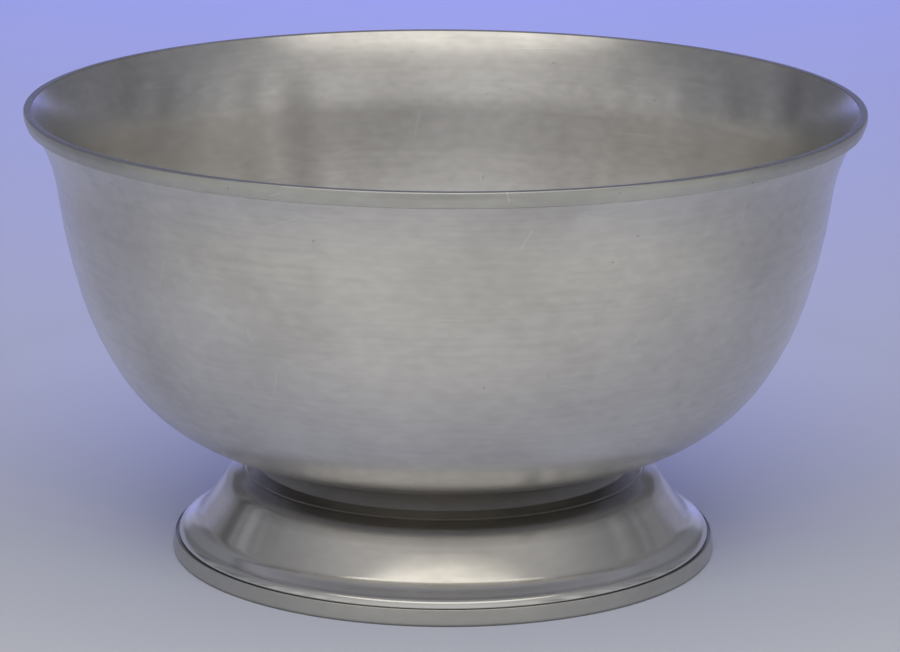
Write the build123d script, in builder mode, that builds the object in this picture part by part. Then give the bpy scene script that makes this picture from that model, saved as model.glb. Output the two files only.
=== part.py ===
import os

from build123d import *

os.makedirs("parts", exist_ok=True)

# All sizes in millimetres and degrees; z = 0 is the table, the axis of the bowl is Z.
# The stack is drawn from the table up: each piece takes its place from the one it stands on.

# Ring under the foot
seat_height = 2.15
seat_width = 2.35
groove_width = 0.35
base_lip_width = 0.25
base_lip_height = 0.4
base_lip_round = 0.12
base_flare = 0.25
base_foot_round = 0.3

# Spun foot
foot_wall = 1.2
foot_edge_radius = 40.95
foot_edge_height = 0.31
foot_edge_bend = 0.2
flange_angle = 27.0
flange_length = 1.595
crease_radius = 4.0
crease_angle = 26.2
skirt_radius = 100.0
skirt_angle = 3.6
shoulder_radius = 4.0
shoulder_angle = 30.8
ledge_length = 3.65
scribed_line_inset = 2.05
scribed_line_width = 0.5
scribed_line_radius = 0.7
neck_angle = 50.0
neck_length = 5.48

# Spun bowl
bowl_wall = 1.2
floor_margin = 0.12
heel_radius = 27.75
heel_angle = 57.4
flank_radius = 47.9
flank_angle = 15.3
side_radius = 86.1
side_angle = 10.6
lip_radius = 25.3
lip_angle = 26.2
lip_trim_angle = 6.0
lip_edge_height = 1.79

# Flat wire round the rim
band_thickness = 1.05
band_height = 2.3
band_proud = 0.1
band_taper_width = 0.45
band_taper_height = 1.3
band_face_round = 2.0
band_upper_round = 0.25
band_lower_round = 0.12

# Solder in the corners of the three joints
rim_solder_leg = 0.6
neck_solder_leg = 0.8
base_solder_leg = 0.8

# Base ring: flat ring with a rebate for the foot, a thin raised lip and a face that flares to the table
base_bore_radius = foot_edge_radius - seat_width
groove_outer_radius = foot_edge_radius + groove_width
lip_outer_radius = groove_outer_radius + base_lip_width
base_radius = lip_outer_radius + base_flare
base_top_height = seat_height + base_lip_height

with BuildPart() as base_ring:
    with BuildSketch(Plane.XZ) as base_section:
        with BuildLine():
            Polyline(
                (base_bore_radius, 0),
                (base_radius, 0),
                (lip_outer_radius, base_top_height),
                (groove_outer_radius, base_top_height),
                (groove_outer_radius, seat_height),
                (base_bore_radius, seat_height),
                close=True,
            )
        make_face()
        fillet(base_section.vertices().group_by(Axis.Y)[-1], base_lip_round)
        fillet(base_section.vertices().group_by(Axis.X)[-1], base_foot_round)
    revolve(axis=Axis.Z)
base_ring.part.label = "base_ring"
export_step(base_ring.part, "parts/base_ring.step")

# Foot: one spun sheet, from the edge turned down on the ring up to the neck, which is trimmed flat
edge_foot = Vector(foot_edge_radius, seat_height)
scribed_line_rise = (scribed_line_radius**2 - (scribed_line_width / 2) ** 2) ** 0.5
neck_way = Vector(-1, 0).rotate(Axis.Z, -neck_angle)

with BuildPart() as foot:
    with BuildSketch(Plane.XZ) as foot_section:
        with BuildLine():
            edge = Line(edge_foot, edge_foot + Vector(0, foot_edge_height))
            roll = JernArc(edge @ 1, edge % 1, foot_wall + foot_edge_bend, 90 - flange_angle)
            flange = Line(roll @ 1, roll @ 1 + (roll % 1) * flange_length)
            crease = JernArc(flange @ 1, flange % 1, crease_radius, -crease_angle)
            skirt = JernArc(crease @ 1, crease % 1, skirt_radius, -skirt_angle)
            shoulder = JernArc(skirt @ 1, skirt % 1, shoulder_radius, shoulder_angle)
            ledge = Line(shoulder @ 1, shoulder @ 1 + (shoulder % 1) * ledge_length)
            neck = Line(ledge @ 1, ledge @ 1 + neck_way * neck_length)
            offset(amount=foot_wall, side=Side.LEFT)
        make_face()
        floor_height = (neck @ 1).Y - foot_wall
        Rectangle(base_radius, floor_height, align=(Align.MIN, Align.MIN), mode=Mode.INTERSECT)
        ledge_out = (ledge % 1).rotate(Axis.Z, -90)
        with Locations(ledge @ 1 - (ledge % 1) * scribed_line_inset + ledge_out * scribed_line_rise):
            Circle(scribed_line_radius, mode=Mode.SUBTRACT)
        neck_ends = foot_section.vertices().group_by(Axis.Y)[-1].sort_by(Axis.X)
    revolve(axis=Axis.Z)
foot.part.label = "foot"
export_step(foot.part, "parts/foot.step")

# Bowl: one spun sheet on the neck of the foot, its lip turned out and trimmed to the band
floor_radius = neck_ends[-1].X + floor_margin

with BuildPart() as bowl_shell:
    with BuildSketch(Plane.XZ):
        with BuildLine():
            floor = Line((0, floor_height), (floor_radius, floor_height))
            heel = JernArc(floor @ 1, floor % 1, heel_radius, heel_angle)
            flank = JernArc(heel @ 1, heel % 1, flank_radius, flank_angle)
            side = JernArc(flank @ 1, flank % 1, side_radius, side_angle)
            lip = JernArc(side @ 1, side % 1, lip_radius, -lip_angle)
            JernArc(lip @ 1, lip % 1, lip_radius, -lip_trim_angle)
            offset(amount=bowl_wall, side=Side.LEFT)
        make_face()
        lip_corner = lip @ 1
        band_bore_radius = lip_corner.X
        lip_top_height = lip_corner.Y + lip_edge_height
        Rectangle(band_bore_radius, lip_top_height, align=(Align.MIN, Align.MIN), mode=Mode.INTERSECT)
    revolve(axis=Axis.Z)
bowl_shell.part.label = "bowl_shell"
export_step(bowl_shell.part, "parts/bowl_shell.step")

# Rim band: wire round the trimmed edge of the lip, a little proud of it, its face drawn in below
band_top_height = lip_top_height + band_proud
band_foot_height = band_top_height - band_height
rim_radius = band_bore_radius + band_thickness

with BuildPart() as rim_band:
    with BuildSketch(Plane.XZ) as band_section:
        with BuildLine():
            Polyline(
                (band_bore_radius, band_foot_height),
                (rim_radius - band_taper_width, band_foot_height),
                (rim_radius, band_foot_height + band_taper_height),
                (rim_radius, band_top_height),
                (band_bore_radius, band_top_height),
                close=True,
            )
        make_face()
        fillet(band_section.vertices().group_by(Axis.Y)[-1].sort_by(Axis.X)[-1], band_upper_round)
        fillet(band_section.vertices().group_by(Axis.X)[-1].sort_by(Axis.Y)[0], band_face_round)
        fillet(band_section.vertices().group_by(Axis.Y)[0].sort_by(Axis.X)[-1], band_lower_round)
    revolve(axis=Axis.Z)
rim_band.part.label = "rim_band"
export_step(rim_band.part, "parts/rim_band.step")

# Rim solder: run into the corner under the lip, against the band
with BuildPart() as rim_solder:
    with BuildSketch(Plane.XZ):
        with BuildLine():
            Polyline(
                lip_corner,
                lip_corner - Vector(0, rim_solder_leg),
                lip_corner - Vector(rim_solder_leg, rim_solder_leg),
                close=True,
            )
        make_face()
    revolve(axis=Axis.Z)
    add(bowl_shell.part, mode=Mode.SUBTRACT)
rim_solder.part.label = "rim_solder"
export_step(rim_solder.part, "parts/rim_solder.step")

# Neck solder: inside the foot, between the neck and the bowl floor
neck_corner = Vector(neck_ends[0].X, floor_height)

with BuildPart() as neck_solder:
    with BuildSketch(Plane.XZ):
        with BuildLine():
            Polyline(
                neck_corner,
                neck_corner - Vector(neck_solder_leg, 0),
                neck_corner - neck_way * neck_solder_leg,
                close=True,
            )
        make_face()
    revolve(axis=Axis.Z)
neck_solder.part.label = "neck_solder"
export_step(neck_solder.part, "parts/neck_solder.step")

# Base solder: inside the foot, between its turned edge and the ring
land_corner = edge_foot - Vector(foot_wall, 0)

with BuildPart() as base_solder:
    with BuildSketch(Plane.XZ):
        with BuildLine():
            Polyline(
                land_corner,
                land_corner + Vector(0, base_solder_leg),
                land_corner - Vector(base_solder_leg, 0),
                close=True,
            )
        make_face()
    revolve(axis=Axis.Z)
    add(foot.part, mode=Mode.SUBTRACT)
base_solder.part.label = "base_solder"
export_step(base_solder.part, "parts/base_solder.step")
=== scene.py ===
import math

import bpy
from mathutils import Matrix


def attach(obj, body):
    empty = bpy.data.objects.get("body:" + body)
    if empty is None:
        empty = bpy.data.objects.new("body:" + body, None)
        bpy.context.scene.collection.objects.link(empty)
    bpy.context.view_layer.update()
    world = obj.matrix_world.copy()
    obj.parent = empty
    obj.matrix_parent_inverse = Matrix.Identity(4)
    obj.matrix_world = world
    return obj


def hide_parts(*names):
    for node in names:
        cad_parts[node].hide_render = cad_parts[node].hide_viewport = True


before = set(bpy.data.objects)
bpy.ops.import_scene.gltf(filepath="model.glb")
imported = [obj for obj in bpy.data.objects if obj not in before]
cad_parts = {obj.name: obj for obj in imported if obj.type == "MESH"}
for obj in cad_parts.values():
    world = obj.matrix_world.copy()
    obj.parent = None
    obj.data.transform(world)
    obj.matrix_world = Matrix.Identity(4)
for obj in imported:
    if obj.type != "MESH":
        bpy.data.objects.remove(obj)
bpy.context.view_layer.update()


# Base ring: a flat ring of cast pewter, turned on the lathe, that carries the whole bowl. A rebate
# in its top takes the edge of the foot, and the gap inside its thin lip shows as a dark groove.
# Its face flares a little to the table and was left with a dull satin.
mm = 0.001
foot_edge_radius = 40.95 * mm
seat_height = 2.15 * mm
seat_width = 2.35 * mm
groove_width = 0.35 * mm
base_lip_width = 0.25 * mm
base_lip_height = 0.4 * mm
base_lip_round = 0.12 * mm
base_flare = 0.25 * mm
base_foot_round = 0.3 * mm
turning_steps = 288
arc_step = 4.0
merge_distance = 0.0005 * mm
sharp_edge_angle = 18.0
# A dark tone painted as shade on the ring's foot, on the top of the foot under the bowl and on the bowl's
# heel, and a light tone painted as a highlight on the top of the ring's lip.
painted_shade_colour = "#45413A"
lip_highlight_colour = "#EDEDEB"
lip_highlight_depth = 0.15 * mm


class Section:
    """Half the cross-section of a turned piece, drawn in edit mode in the plane of X and Z."""

    def __init__(self, name, radius, height, heading):
        bpy.ops.object.select_all(action="DESELECT")
        bpy.ops.mesh.primitive_plane_add(size=mm)
        self.piece = bpy.context.object
        self.piece.name = self.piece.data.name = name
        self.radius, self.height, self.heading = radius, height, heading
        bpy.ops.object.mode_set(mode="EDIT")
        bpy.ops.mesh.merge(type="CENTER")
        bpy.ops.transform.translate(value=(radius, 0, height))

    def run(self, length):
        """A straight stretch along the heading."""
        across = length * math.cos(math.radians(self.heading))
        up = length * math.sin(math.radians(self.heading))
        bpy.ops.mesh.extrude_region_move(TRANSFORM_OT_translate={"value": (across, 0, up)})
        self.radius += across
        self.height += up

    def bend(self, radius, angle):
        """A round stretch that turns left through a plus angle and right through a minus one."""
        reach = math.copysign(radius, angle)
        start, end = math.radians(self.heading), math.radians(self.heading + angle)
        centre_radius = self.radius - reach * math.sin(start)
        centre_height = self.height + reach * math.cos(start)
        bpy.ops.mesh.spin(
            steps=max(2, math.ceil(abs(angle) / arc_step)),
            angle=math.radians(angle),
            center=(centre_radius, 0, centre_height),
            axis=(0, 1, 0),
        )
        self.radius = centre_radius + reach * math.sin(end)
        self.height = centre_height - reach * math.cos(end)
        self.heading += angle

    def turn(self):
        """Spins the section about the axis of the bowl into a closed piece."""
        bpy.ops.mesh.select_all(action="SELECT")
        bpy.ops.mesh.remove_doubles(threshold=merge_distance)
        bpy.ops.mesh.spin(steps=turning_steps, angle=2 * math.pi, center=(0, 0, 0), axis=(0, 0, 1))
        bpy.ops.mesh.select_all(action="SELECT")
        bpy.ops.mesh.remove_doubles(threshold=merge_distance)
        bpy.ops.mesh.normals_make_consistent(inside=False)
        bpy.ops.object.mode_set(mode="OBJECT")
        bpy.ops.object.shade_smooth_by_angle(angle=math.radians(sharp_edge_angle))
        return self.piece


def corner_cut(radius, turn):
    """How far from a sharp corner its rounding starts."""
    return radius * math.tan(math.radians(turn) / 2)


def linear(hex_colour):
    """The linear colour of an sRGB hex value."""
    shares = [int(hex_colour[i:i + 2], 16) / 255 for i in (1, 3, 5)]
    return [c / 12.92 if c <= 0.04045 else ((c + 0.055) / 1.055) ** 2.4 for c in shares] + [1.0]


# Places of a Mix node's colour sockets, which share their names with its other sockets.
first_colour = 6
second_colour = 7
mixed_colour = 2


def add_node(tree, kind, settings, inputs):
    """Adds a node with its own settings; each input is a value or the socket that feeds it."""
    added = tree.nodes.new(kind)
    for name, value in settings.items():
        setattr(added, name, value)
    for name, value in inputs.items():
        if isinstance(value, bpy.types.NodeSocket):
            tree.links.new(value, added.inputs[name])
        else:
            added.inputs[name].default_value = value
    return added


def pitted(tree, place, tone):
    """Adds pits to a tone: a dark dot of up to a third of a millimetre here and there."""
    pit_spacing = 4.0 * mm
    pit_reach = 0.19 * mm
    pit_core = 0.4 * pit_reach
    pit_strength = 0.6
    pit_colour = "#5A5852"
    cells = add_node(
        tree, "ShaderNodeTexVoronoi", {}, {"Vector": place, "Scale": 1 / pit_spacing, "Randomness": 1.0}
    )
    pits = add_node(
        tree, "ShaderNodeMapRange", {},
        {"Value": cells.outputs["Distance"], "From Min": pit_core / pit_spacing,
         "From Max": pit_reach / pit_spacing, "To Min": pit_strength, "To Max": 0.0},
    )
    mixed = add_node(
        tree, "ShaderNodeMix", {"data_type": "RGBA"},
        {"Factor": pits.outputs[0], first_colour: tone, second_colour: linear(pit_colour)},
    )
    return mixed.outputs[mixed_colour]


def scratched(tree, place, along, tone):
    """Adds scratches to a tone: here and there a short bright one, leaning any way.

    Each is a stretch of line through the middle of a cell on the unrolled surface. The real ones
    are hair-thin and are drawn wider, so that they show.
    """
    scratch_spacing = 16 * mm
    scratch_reach = 3.2 * mm
    scratch_width = 0.07 * mm
    scratch_core = 0.3 * scratch_width
    scratch_strength = 0.5
    scratch_colour = "#F2F2F0"
    mean_radius = 50 * mm
    parts = add_node(tree, "ShaderNodeSeparateXYZ", {}, {0: place})
    back = add_node(tree, "ShaderNodeMath", {"operation": "MULTIPLY"}, {0: parts.outputs["Y"], 1: -1.0})
    bearing = add_node(
        tree, "ShaderNodeMath", {"operation": "ARCTAN2"}, {0: parts.outputs["X"], 1: back.outputs[0]}
    )
    round_way = add_node(
        tree, "ShaderNodeMath", {"operation": "MULTIPLY"}, {0: bearing.outputs[0], 1: mean_radius}
    )
    unrolled = add_node(tree, "ShaderNodeCombineXYZ", {}, {"X": round_way.outputs[0], "Y": along})
    cells = add_node(
        tree, "ShaderNodeTexVoronoi", {"voronoi_dimensions": "2D"},
        {"Vector": unrolled.outputs[0], "Scale": 1 / scratch_spacing, "Randomness": 1.0},
    )
    chance = add_node(tree, "ShaderNodeSeparateColor", {}, {0: cells.outputs["Color"]})
    lean = add_node(tree, "ShaderNodeMath", {"operation": "MULTIPLY"}, {0: chance.outputs[0], 1: math.pi})
    offset = add_node(
        tree, "ShaderNodeVectorMath", {"operation": "SUBTRACT"},
        {0: unrolled.outputs[0], 1: cells.outputs["Position"]},
    )
    turned = add_node(
        tree, "ShaderNodeVectorRotate", {"rotation_type": "Z_AXIS"},
        {"Vector": offset.outputs[0], "Angle": lean.outputs[0]},
    )
    sides = add_node(tree, "ShaderNodeVectorMath", {"operation": "ABSOLUTE"}, {0: turned.outputs[0]})
    spread = add_node(tree, "ShaderNodeSeparateXYZ", {}, {0: sides.outputs[0]})
    length = add_node(
        tree, "ShaderNodeMath", {"operation": "MULTIPLY"}, {0: chance.outputs[1], 1: scratch_reach}
    )
    within = add_node(
        tree, "ShaderNodeMath", {"operation": "LESS_THAN"}, {0: spread.outputs["X"], 1: length.outputs[0]}
    )
    thin = add_node(
        tree, "ShaderNodeMapRange", {},
        {"Value": spread.outputs["Y"], "From Min": scratch_core, "From Max": scratch_width,
         "To Min": scratch_strength, "To Max": 0.0},
    )
    scratches = add_node(
        tree, "ShaderNodeMath", {"operation": "MULTIPLY"}, {0: within.outputs[0], 1: thin.outputs[0]}
    )
    mixed = add_node(
        tree, "ShaderNodeMix", {"data_type": "RGBA"},
        {"Factor": scratches.outputs[0], first_colour: tone, second_colour: linear(scratch_colour)},
    )
    return mixed.outputs[mixed_colour]


def turned_pewter(name, colour, dull_colour, roughness, rough_spread, brushing, line_depth, rise):
    """Pewter worked on the lathe: brushed lines round the axis, faint tarnish, pits and scratches.

    The lines stretch every reflection across them, the tarnish dulls it in soft clouds. The rise
    is 1 on a piece that widens upwards and -1 on one that narrows.
    """
    material = bpy.data.materials.new(name)
    material.use_nodes = True
    tree = material.node_tree
    shader = tree.nodes["Principled BSDF"]
    quarter_turn = 0.25
    shader.inputs["Metallic"].default_value = 1.0
    shader.inputs["Anisotropic"].default_value = brushing
    shader.inputs["Anisotropic Rotation"].default_value = quarter_turn
    round_axis = add_node(tree, "ShaderNodeTangent", {"direction_type": "RADIAL", "axis": "Z"}, {})
    tree.links.new(round_axis.outputs["Tangent"], shader.inputs["Tangent"])
    place = add_node(tree, "ShaderNodeTexCoord", {}, {}).outputs["Object"]

    # Lines left by the tool and the satin wheel: noise drawn out round the axis, each line over
    # about half a radius. The real lines are a few hundredths of a millimetre apart and are drawn
    # coarser here, so that they show.
    line_pitch = 0.7 * mm
    line_reach = 0.5
    flat = add_node(tree, "ShaderNodeVectorMath", {"operation": "MULTIPLY"}, {0: place, 1: (1, 1, 0)})
    spoke = add_node(tree, "ShaderNodeVectorMath", {"operation": "NORMALIZE"}, {0: flat.outputs[0]})
    radius = add_node(tree, "ShaderNodeVectorMath", {"operation": "LENGTH"}, {0: flat.outputs[0]})
    height = add_node(tree, "ShaderNodeSeparateXYZ", {}, {0: place}).outputs["Z"]
    along = add_node(
        tree, "ShaderNodeMath", {"operation": "MULTIPLY_ADD"},
        {0: radius.outputs["Value"], 1: rise, 2: height},
    )
    across = add_node(tree, "ShaderNodeMath", {"operation": "DIVIDE"}, {0: along.outputs[0], 1: line_pitch})
    lift = add_node(tree, "ShaderNodeCombineXYZ", {}, {"Z": across.outputs[0]})
    wrap = add_node(
        tree, "ShaderNodeVectorMath", {"operation": "MULTIPLY_ADD"},
        {0: spoke.outputs[0], 1: (1 / line_reach, 1 / line_reach, 0), 2: lift.outputs[0]},
    )
    lines = add_node(
        tree, "ShaderNodeTexNoise", {},
        {"Vector": wrap.outputs[0], "Scale": 1.0, "Detail": 1.0, "Roughness": 0.5},
    )

    # Tarnish in faint clouds of two sizes, a coin's and a lentil's, streaked by the lines.
    wide_cloud = 20 * mm
    small_cloud = 2.5 * mm
    cloud_flatness = 2.0
    small_share = 0.45
    line_share = 0.22
    stain_low = 0.53
    stain_high = 1.14
    clouds = add_node(
        tree, "ShaderNodeTexNoise", {},
        {"Vector": place, "Scale": 1 / wide_cloud, "Detail": 2.0, "Roughness": 0.5},
    )
    flattened = add_node(
        tree, "ShaderNodeVectorMath", {"operation": "MULTIPLY"}, {0: place, 1: (1, 1, cloud_flatness)}
    )
    specks = add_node(
        tree, "ShaderNodeTexNoise", {},
        {"Vector": flattened.outputs[0], "Scale": 1 / small_cloud, "Detail": 1.0, "Roughness": 0.5},
    )
    blotches = add_node(
        tree, "ShaderNodeMath", {"operation": "MULTIPLY_ADD"},
        {0: specks.outputs["Fac"], 1: small_share, 2: clouds.outputs["Fac"]},
    )
    stain = add_node(
        tree, "ShaderNodeMath", {"operation": "MULTIPLY_ADD"},
        {0: lines.outputs["Fac"], 1: line_share, 2: blotches.outputs[0]},
    )
    dulled = add_node(
        tree, "ShaderNodeMapRange", {},
        {"Value": stain.outputs[0], "From Min": stain_low, "From Max": stain_high},
    )
    tarnished = add_node(
        tree, "ShaderNodeMix", {"data_type": "RGBA"},
        {"Factor": dulled.outputs[0], first_colour: linear(colour), second_colour: linear(dull_colour)},
    )
    tone = pitted(tree, place, tarnished.outputs[mixed_colour])
    tone = scratched(tree, place, along.outputs[0], tone)
    tree.links.new(tone, shader.inputs["Base Color"])

    # The gloss is never even: the lines and the tarnish both scatter it.
    gloss = add_node(
        tree, "ShaderNodeMapRange", {},
        {"Value": stain.outputs[0], "From Min": stain_low, "From Max": stain_high,
         "To Min": roughness - rough_spread, "To Max": roughness + rough_spread},
    )
    tree.links.new(gloss.outputs[0], shader.inputs["Roughness"])
    relief = add_node(
        tree, "ShaderNodeBump", {},
        {"Strength": 1.0, "Distance": line_depth, "Height": lines.outputs["Fac"]},
    )
    tree.links.new(relief.outputs[0], shader.inputs["Normal"])
    return material


def tone_by_height(material, colour, share, none_at, full_at):
    """Mixes a colour into the metal, from none at one height to the given share at another."""
    tree = material.node_tree
    shader = tree.nodes["Principled BSDF"]
    plain_tone = shader.inputs["Base Color"].links[0].from_socket
    place = add_node(tree, "ShaderNodeTexCoord", {}, {}).outputs["Object"]
    height = add_node(tree, "ShaderNodeSeparateXYZ", {}, {0: place}).outputs["Z"]
    amount = add_node(
        tree, "ShaderNodeMapRange", {},
        {"Value": height, "From Min": none_at, "From Max": full_at, "To Max": share},
    )
    mixed = add_node(
        tree, "ShaderNodeMix", {"data_type": "RGBA"},
        {"Factor": amount.outputs[0], first_colour: plain_tone, second_colour: linear(colour)},
    )
    tree.links.new(mixed.outputs[mixed_colour], shader.inputs["Base Color"])


base_height = seat_height + base_lip_height
face_lean = math.degrees(math.atan2(base_flare, base_height))
foot_cut = corner_cut(base_foot_round, 90 + face_lean)
lip_cut = corner_cut(base_lip_round, 90 - face_lean)
section = Section("base_ring_turned", foot_edge_radius - seat_width, 0, 0)
section.run(seat_width + groove_width + base_lip_width + base_flare - foot_cut)
section.bend(base_foot_round, 90 + face_lean)
section.run(math.hypot(base_flare, base_height) - foot_cut - lip_cut)
section.bend(base_lip_round, 90 - face_lean)
section.run(base_lip_width - lip_cut - base_lip_round)
section.bend(base_lip_round, 90)
section.run(base_lip_height - base_lip_round)
section.heading = 180
section.run(groove_width + seat_width)
section.heading = 270
section.run(seat_height)
base_ring = section.turn()

# Dull pewter mirrors only broad, soft patches of light. Painted shade darkens its foot as a
# contact shadow, and a painted highlight lightens the top of its lip.
dull_pewter = turned_pewter(
    "dull_pewter",
    colour="#C8C6BE",
    dull_colour="#B8B6AE",
    roughness=0.32,
    rough_spread=0.04,
    brushing=0.5,
    line_depth=0.001 * mm,
    rise=1.0,
)
# Painted shade: a dark tone along the foot of the ring stands for its contact shadow.
tone_by_height(dull_pewter, painted_shade_colour, share=0.6, none_at=0.5 * mm, full_at=0.1 * mm)
# Painted highlight: a light tone along the top of the lip.
tone_by_height(dull_pewter, lip_highlight_colour, share=0.6, none_at=base_height - lip_highlight_depth, full_at=base_height)
base_ring.data.materials.append(dull_pewter)
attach(base_ring, "root")
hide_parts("base_ring")


# Foot: one disc of sheet pewter spun over a former into a hollow pedestal. From its turned-down
# edge it rises as a flange, a flared skirt, a round shoulder, a ledge with a scribed line and a
# short neck, which is soldered under the bowl. It kept the polish of the spinning tool.
foot_wall = 1.2 * mm
foot_edge_height = 0.31 * mm
foot_edge_bend = 0.2 * mm
flange_angle = 27.0
flange_length = 1.595 * mm
crease_radius = 4.0 * mm
crease_angle = 26.2
skirt_radius = 100.0 * mm
skirt_angle = 3.6
shoulder_radius = 4.0 * mm
shoulder_angle = 30.8
ledge_length = 3.65 * mm
scribed_line_inset = 2.05 * mm
scribed_line_width = 0.5 * mm
scribed_line_radius = 0.7 * mm
neck_angle = 50.0
neck_length = 5.48 * mm
# Painted highlight on the flange; below it the rolled edge gets a plain pewter tone back.
flange_highlight_colour = "#FBFAF7"
rolled_edge_colour = "#D8D8D5"

edge_angle = 90 - flange_angle
ledge_angle = flange_angle + crease_angle + skirt_angle - shoulder_angle
line_angle = math.degrees(math.asin(scribed_line_width / 2 / scribed_line_radius))
neck_slope = math.radians(neck_angle)
neck_rise = neck_length * math.sin(neck_slope) - foot_wall

section = Section("foot_spun", foot_edge_radius - foot_wall, seat_height, 0)
section.run(foot_wall)
section.heading = 90
section.run(foot_edge_height)
section.bend(foot_wall + foot_edge_bend, edge_angle)
section.run(flange_length)
section.bend(crease_radius, -crease_angle)
section.bend(skirt_radius, -skirt_angle)
section.bend(shoulder_radius, shoulder_angle)
section.run(ledge_length - scribed_line_inset - scribed_line_width / 2)
section.heading += line_angle
section.bend(scribed_line_radius, -2 * line_angle)
section.heading += line_angle
section.run(scribed_line_inset - scribed_line_width / 2)
section.heading = 180 - neck_angle
section.run(neck_rise / math.sin(neck_slope))
floor_height = section.height
neck_top_radius = section.radius
section.heading = 180
section.run(foot_wall / math.sin(neck_slope))
section.heading = 360 - neck_angle
section.run((neck_rise + foot_wall * math.cos(neck_slope)) / math.sin(neck_slope))
section.bend(foot_wall, neck_angle - ledge_angle)
section.run(ledge_length)
section.bend(shoulder_radius - foot_wall, -shoulder_angle)
section.bend(skirt_radius + foot_wall, skirt_angle)
section.bend(crease_radius + foot_wall, crease_angle)
section.run(flange_length)
section.bend(foot_edge_bend, -edge_angle)
section.run(foot_edge_height)
foot = section.turn()

# Polished pewter comes nearest to a mirror: a long highlight runs round the skirt, between dark
# edges. Painted shade darkens the top of the foot under the bowl. A painted highlight lightens the
# flange, and the edge rolled down below it is given back a plain pewter tone.
polished_pewter = turned_pewter(
    "polished_pewter",
    colour="#E2DFDA",
    dull_colour="#D4D1CA",
    roughness=0.16,
    rough_spread=0.03,
    brushing=0.3,
    line_depth=0.001 * mm,
    rise=-1.0,
)
# Painted shade: a dark tone on the top of the foot, its ledge and neck, under the bowl.
tone_by_height(polished_pewter, painted_shade_colour, share=0.38, none_at=9.6 * mm, full_at=11.4 * mm)
# Painted highlight: a light tone on the flange.
tone_by_height(polished_pewter, flange_highlight_colour, share=0.9, none_at=5.0 * mm, full_at=4.5 * mm)
# Below the flange the rolled edge is given back a plain pewter tone, so the painted highlight stops at the
# flange.
tone_by_height(polished_pewter, rolled_edge_colour, share=0.95, none_at=4.0 * mm, full_at=3.75 * mm)
foot.data.materials.append(polished_pewter)
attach(foot, "root")
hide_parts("foot")


# Bowl: one larger disc of sheet pewter spun over a round former, with a flat floor, a full
# heel and a wall that rises nearly straight before the lip is rolled outwards. Inside and out
# it has the satin of a fine abrasive held against it as it turned.
bowl_wall = 1.2 * mm
floor_margin = 0.12 * mm
heel_radius = 27.75 * mm
heel_angle = 57.4
flank_radius = 47.9 * mm
flank_angle = 15.3
side_radius = 86.1 * mm
side_angle = 10.6
lip_radius = 25.3 * mm
lip_angle = 26.2
lip_edge_height = 1.79 * mm

floor_radius = neck_top_radius + floor_margin
wall_angle = heel_angle + flank_angle + side_angle

section = Section("bowl_spun", 0, floor_height, 0)
section.run(floor_radius)
section.bend(heel_radius, heel_angle)
section.bend(flank_radius, flank_angle)
section.bend(side_radius, side_angle)
lip_centre_height = section.height - lip_radius * math.cos(math.radians(wall_angle))
lip_centre_radius = section.radius + lip_radius * math.sin(math.radians(wall_angle))
section.bend(lip_radius, -lip_angle)
band_bore_radius = section.radius
section.heading = 90
section.run(lip_edge_height)
lip_top_height = section.height
inner_lip_radius = lip_radius + bowl_wall
inner_lip_slope = math.degrees(math.acos((lip_top_height - lip_centre_height) / inner_lip_radius))
section.heading = 180
section.run(band_bore_radius - lip_centre_radius + inner_lip_radius * math.sin(math.radians(inner_lip_slope)))
section.heading = 180 + inner_lip_slope
section.bend(inner_lip_radius, wall_angle - inner_lip_slope)
section.bend(side_radius - bowl_wall, -side_angle)
section.bend(flank_radius - bowl_wall, -flank_angle)
section.bend(heel_radius - bowl_wall, -heel_angle)
section.run(section.radius)
bowl = section.turn()

# Satin pewter draws each reflection into a tall soft column across its fine lines, a warm grey in
# faint clouds. Painted shade darkens the heel, close above the foot.
satin_pewter = turned_pewter(
    "satin_pewter",
    colour="#DFDDDA",
    dull_colour="#C4C2BF",
    roughness=0.25,
    rough_spread=0.02,
    brushing=0.6,
    line_depth=0.001 * mm,
    rise=1.0,
)
# Painted shade: a dark tone on the heel above the foot.
tone_by_height(satin_pewter, painted_shade_colour, share=0.5, none_at=20.0 * mm, full_at=16.8 * mm)
bowl.data.materials.append(satin_pewter)
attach(bowl, "root")
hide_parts("bowl_shell")


# Rim band: a pewter wire bent round the trimmed lip, soldered on and turned, to stiffen the
# edge. It stands a little proud of the lip, its face is drawn in below, and its corners are
# worn round by handling.
band_thickness = 1.05 * mm
band_height = 2.3 * mm
band_proud = 0.1 * mm
band_taper_width = 0.45 * mm
band_taper_height = 1.3 * mm
band_face_round = 2.0 * mm
band_upper_round = 0.25 * mm
band_lower_round = 0.12 * mm

taper_heading = math.degrees(math.atan2(band_taper_height, band_taper_width))
lower_cut = corner_cut(band_lower_round, taper_heading)
face_cut = corner_cut(band_face_round, 90 - taper_heading)
section = Section("rim_band_turned", band_bore_radius, lip_top_height + band_proud - band_height, 0)
section.run(band_thickness - band_taper_width - lower_cut)
section.bend(band_lower_round, taper_heading)
section.run(math.hypot(band_taper_width, band_taper_height) - lower_cut - face_cut)
section.bend(band_face_round, 90 - taper_heading)
section.run(band_height - band_taper_height - face_cut - band_upper_round)
section.bend(band_upper_round, 90)
section.run(band_thickness - band_upper_round)
section.heading = 270
section.run(band_height)
rim_band = section.turn()

# Band pewter is duller than the bowl, so that the edge shows as one plain grey line.
band_pewter = turned_pewter(
    "band_pewter",
    colour="#C9C9C6",
    dull_colour="#B8B8B4",
    roughness=0.32,
    rough_spread=0.04,
    brushing=0.5,
    line_depth=0.001 * mm,
    rise=1.0,
)
rim_band.data.materials.append(band_pewter)
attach(rim_band, "root")
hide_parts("rim_band")


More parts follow.
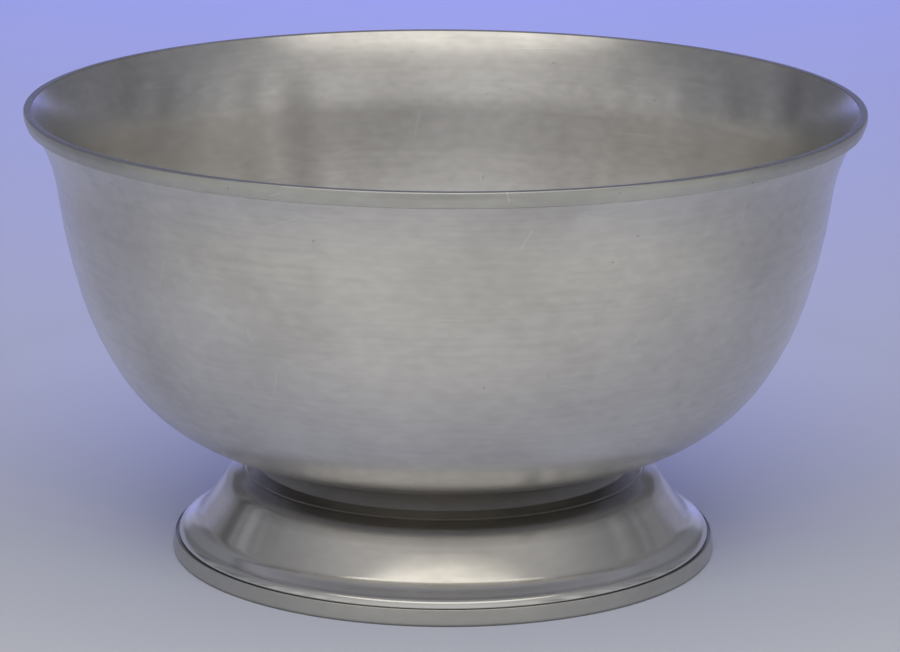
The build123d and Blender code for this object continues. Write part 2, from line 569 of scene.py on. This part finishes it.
# Solder: thin runs of tin solder in the corners of the three joints, under the rim band, at the
# top of the neck and inside the base ring. They melted into place and were left as they set,
# dull and without a brushed grain.
tin_solder = turned_pewter(
    "tin_solder",
    colour="#BDBCB8",
    dull_colour="#A9A8A3",
    roughness=0.42,
    rough_spread=0.06,
    brushing=0.0,
    line_depth=0.002 * mm,
    rise=1.0,
)
for run in ("rim_solder", "neck_solder", "base_solder"):
    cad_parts[run].data.materials.clear()
    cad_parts[run].data.materials.append(tin_solder)


# Sheet: the pale paper the bowl stands on, carried up behind it in a low curve. It is grey near the
# bowl, lavender towards the back, with painted light in front of the bowl and painted shade beyond.
sheet_width = 3.0
sheet_front = -1.6
sheet_bend = 0.6
sheet_bend_radius = 0.2
sheet_bend_steps = 24
bpy.ops.object.select_all(action="DESELECT")
bpy.ops.mesh.primitive_plane_add(size=1.0)
sheet = bpy.context.object
sheet.name = sheet.data.name = "paper_sheet"
bpy.ops.object.mode_set(mode="EDIT")
bpy.ops.mesh.select_all(action="SELECT")
bpy.ops.mesh.merge(type="CENTER")
bpy.ops.transform.translate(value=(-sheet_width / 2, sheet_front, 0))
bpy.ops.mesh.extrude_region_move(TRANSFORM_OT_translate={"value": (0, sheet_bend - sheet_front, 0)})
bpy.ops.mesh.spin(
    steps=sheet_bend_steps,
    angle=-math.pi / 2,
    center=(-sheet_width / 2, sheet_bend, sheet_bend_radius),
    axis=(1, 0, 0),
)
bpy.ops.mesh.select_all(action="SELECT")
bpy.ops.mesh.extrude_region_move(TRANSFORM_OT_translate={"value": (sheet_width, 0, 0)})
bpy.ops.object.mode_set(mode="OBJECT")
bpy.ops.object.shade_smooth()

# Matt paper scatters the light and shows no highlight. Its grey runs from front to back, with a
# painted pool of light in front of the bowl and painted shade towards the front edge.
paper = bpy.data.materials.new("matt_paper")
paper.use_nodes = True
tree = paper.node_tree
paper_shader = tree.nodes["Principled BSDF"]
paper_shader.inputs["Roughness"].default_value = 0.7
place = add_node(tree, "ShaderNodeTexCoord", {}, {}).outputs["Object"]
parts = add_node(tree, "ShaderNodeSeparateXYZ", {}, {0: place}).outputs
grey_front = -0.45
grey_back = 0.15
# The light band from -0.17 to -0.12 is a painted pool of light; the darker front is painted shade.
grey_and_light_stops = (
    (-0.33, "#8A8A8A"),
    (-0.17, "#C1C1C1"),
    (-0.12, "#C1C1C1"),
    (-0.09, "#BABABD"),
    (-0.05, "#ACAFBB"),
    (0.05, "#AAAEC3"),
)
depth = add_node(
    tree, "ShaderNodeMapRange", {}, {"Value": parts["Y"], "From Min": grey_front, "From Max": grey_back}
)
greys_and_light = add_node(tree, "ShaderNodeValToRGB", {}, {"Fac": depth.outputs[0]})
stops = greys_and_light.color_ramp.elements
for y, grey in grey_and_light_stops:
    stops.new((y - grey_front) / (grey_back - grey_front)).color = linear(grey)
stops[0].color = linear("#7C7C7C")
stops[-1].color = linear("#A8ACBE")

# Towards both sides it turns to grey, lighter in front of the bowl; beside it the darker grey is
# painted shade.
side_start = 0.04
side_full = 0.24
front_side_end = -0.06
beside_start = 0.0
aside = add_node(tree, "ShaderNodeMath", {"operation": "ABSOLUTE"}, {0: parts["X"]}).outputs[0]
side_share = add_node(
    tree, "ShaderNodeMapRange", {}, {"Value": aside, "From Min": side_start, "From Max": side_full}
)
beside = add_node(
    tree, "ShaderNodeMapRange", {},
    {"Value": parts["Y"], "From Min": front_side_end, "From Max": beside_start},
)
side_shade_grey = add_node(
    tree, "ShaderNodeMix", {"data_type": "RGBA"},
    {"Factor": beside.outputs[0], first_colour: linear("#BDBDBB"), second_colour: linear("#98999E")},
)
shaded = add_node(
    tree, "ShaderNodeMix", {"data_type": "RGBA"},
    {"Factor": side_share.outputs[0], first_colour: greys_and_light.outputs["Color"],
     second_colour: side_shade_grey.outputs[mixed_colour]},
)

# The lavender grows towards the back, later at the sides, and is strongest in the middle.
lavender_lag = -0.5
lavender_start = 0.0
lavender_full = 0.52
middle_half_width = 0.12
outer_half_width = 0.3
outer_share = 0.1
slant = add_node(
    tree, "ShaderNodeMath", {"operation": "MULTIPLY_ADD"}, {0: aside, 1: lavender_lag, 2: parts["Y"]}
)
far = add_node(
    tree, "ShaderNodeMapRange", {},
    {"Value": slant.outputs[0], "From Min": lavender_start, "From Max": lavender_full},
)
middle = add_node(
    tree, "ShaderNodeMapRange", {},
    {"Value": aside, "From Min": middle_half_width, "From Max": outer_half_width,
     "To Min": 1.0, "To Max": outer_share},
)
tint = add_node(
    tree, "ShaderNodeMath", {"operation": "MULTIPLY"}, {0: far.outputs[0], 1: middle.outputs[0]}
)
paper_colour = add_node(
    tree, "ShaderNodeMix", {"data_type": "RGBA"},
    {"Factor": tint.outputs[0], first_colour: shaded.outputs[mixed_colour],
     second_colour: linear("#A0A7F7")},
)
tree.links.new(paper_colour.outputs[mixed_colour], paper_shader.inputs["Base Color"])

# A faint lavender glow, for the camera and for what mirrors the sheet, stands in for the coloured
# light on the backdrop. It is stronger behind the foot, where it lifts the shade of the bowl.
glow_front = -0.03
glow_back = 0.12
glow_level = 0.08
shade_centre = (0, 0.07, 0)
shade_edge = 0.095
shade_core = 0.04
shade_level = 0.22
backdrop_level = 0.2
seen = add_node(tree, "ShaderNodeLightPath", {}, {}).outputs
seen_or_mirrored = add_node(
    tree, "ShaderNodeMath", {"operation": "ADD"}, {0: seen["Is Camera Ray"], 1: seen["Is Glossy Ray"]}
)
shown = add_node(
    tree, "ShaderNodeMath", {"operation": "ADD"},
    {0: seen_or_mirrored.outputs[0], 1: seen["Is Transmission Ray"]},
)
floor_glow = add_node(
    tree, "ShaderNodeMapRange", {},
    {"Value": parts["Y"], "From Min": glow_front, "From Max": glow_back, "To Max": glow_level},
)
from_shade = add_node(tree, "ShaderNodeVectorMath", {"operation": "DISTANCE"}, {0: place, 1: shade_centre})
shade_glow = add_node(
    tree, "ShaderNodeMapRange", {},
    {"Value": from_shade.outputs["Value"], "From Min": shade_edge, "From Max": shade_core,
     "To Max": shade_level},
)
near_glow = add_node(
    tree, "ShaderNodeMath", {"operation": "ADD"}, {0: floor_glow.outputs[0], 1: shade_glow.outputs[0]}
)
whole_glow = add_node(
    tree, "ShaderNodeMath", {"operation": "MULTIPLY_ADD"},
    {0: tint.outputs[0], 1: backdrop_level, 2: near_glow.outputs[0]},
)
glow = add_node(
    tree, "ShaderNodeMath", {"operation": "MULTIPLY"}, {0: shown.outputs[0], 1: whole_glow.outputs[0]}
)
paper_shader.inputs["Emission Color"].default_value = linear("#9DA3EC")
tree.links.new(glow.outputs[0], paper_shader.inputs["Emission Strength"])
sheet.data.materials.append(paper)


# Light: a soft box overhead in front of the bowl, a panel behind the camera for the paper alone,
# and a room that is lighter in front, with faint uneven upright bars low on both sides.
soft_box_place = (0, -0.25, 0.9)
soft_box_width = 1.15
soft_box_depth = 0.9
soft_box_area = math.pi / 4 * soft_box_width * soft_box_depth
soft_box_level = 0.88
bpy.ops.object.light_add(type="AREA", location=soft_box_place)
soft_box = bpy.context.object
soft_box.name = "soft_box"
soft_box.data.shape = "ELLIPSE"
soft_box.data.size = soft_box_width
soft_box.data.size_y = soft_box_depth
soft_box.data.energy = soft_box_level * math.pi * soft_box_area
soft_box.data.color = linear("#FFF9EE")[:3]

panel_place = (0, -1.0, 1.0)
panel_tilt = math.pi / 4
panel_width = 1.0
panel_height = 0.7
panel_level = 6.5
bpy.ops.object.light_add(type="AREA", location=panel_place, rotation=(panel_tilt, 0, 0))
panel = bpy.context.object
panel.name = "paper_panel"
panel.data.shape = "RECTANGLE"
panel.data.size = panel_width
panel.data.size_y = panel_height
panel.data.energy = panel_level * math.pi * panel_width * panel_height
panel.visible_glossy = False

room = bpy.data.worlds.new("studio_room")
room.use_nodes = True
tree = room.node_tree
background = tree.nodes["Background"]
way = add_node(tree, "ShaderNodeTexCoord", {}, {}).outputs["Generated"]
way_parts = add_node(tree, "ShaderNodeSeparateXYZ", {}, {0: way}).outputs
facing = add_node(
    tree, "ShaderNodeMapRange", {}, {"Value": way_parts["Y"], "From Min": 1.0, "From Max": -1.0}
)
walls = add_node(tree, "ShaderNodeValToRGB", {}, {"Fac": facing.outputs[0]})
stops = walls.color_ramp.elements
stops[0].color = linear("#64666F")
stops[-1].color = linear("#D3D2D1")
for share, grey in ((0.5, "#8E8F94"), (0.8, "#BDBCBB")):
    stops.new(share).color = linear(grey)
tree.links.new(walls.outputs["Color"], background.inputs["Color"])

bar_fineness = 16.0
bar_dark = 0.32
bar_bright = 0.68
bar_start = 0.5
bar_full = 0.75
bar_strength = 0.5
bar_top = 0.6
bar_full_below = 0.35
level_way = add_node(tree, "ShaderNodeVectorMath", {"operation": "MULTIPLY"}, {0: way, 1: (1, 1, 0)})
bearing = add_node(tree, "ShaderNodeVectorMath", {"operation": "NORMALIZE"}, {0: level_way.outputs[0]})
unevenness = add_node(
    tree, "ShaderNodeTexNoise", {},
    {"Vector": bearing.outputs[0], "Scale": bar_fineness, "Detail": 0.0},
)
bars = add_node(
    tree, "ShaderNodeMapRange", {},
    {"Value": unevenness.outputs["Fac"], "From Min": bar_dark, "From Max": bar_bright,
     "To Min": -1.0, "To Max": 1.0},
)
sideways = add_node(tree, "ShaderNodeMath", {"operation": "ABSOLUTE"}, {0: way_parts["X"]})
at_sides = add_node(
    tree, "ShaderNodeMapRange", {},
    {"Value": sideways.outputs[0], "From Min": bar_start, "From Max": bar_full, "To Max": bar_strength},
)
low = add_node(
    tree, "ShaderNodeMapRange", {},
    {"Value": way_parts["Z"], "From Min": bar_top, "From Max": bar_full_below},
)
shown_bars = add_node(
    tree, "ShaderNodeMath", {"operation": "MULTIPLY"}, {0: at_sides.outputs[0], 1: low.outputs[0]}
)
room_level = add_node(
    tree, "ShaderNodeMath", {"operation": "MULTIPLY_ADD"},
    {0: bars.outputs[0], 1: shown_bars.outputs[0], 2: 1.0},
)
tree.links.new(room_level.outputs[0], background.inputs["Strength"])
bpy.context.scene.world = room


# Camera: a long lens in front of the bowl and above its rim, tilted down at it, as the bowl was
# photographed. The angles are in radians.
image_width = 900
focal_pixels = 4082.84
shift_pixels = 5.62
camera_place = (0, -0.6060, 0.18835)
camera_tilt = 0.2485
camera_turn = 0.0058
bpy.ops.object.camera_add(location=camera_place)
camera = bpy.context.object
camera.rotation_mode = "ZYX"
camera.rotation_euler = (math.pi / 2 - camera_tilt, 0, camera_turn)
camera.data.sensor_width = 36.0
camera.data.lens = camera.data.sensor_width * focal_pixels / image_width
camera.data.shift_x = shift_pixels / image_width
bpy.context.scene.camera = camera
bpy.context.scene.view_settings.view_transform = "Standard"
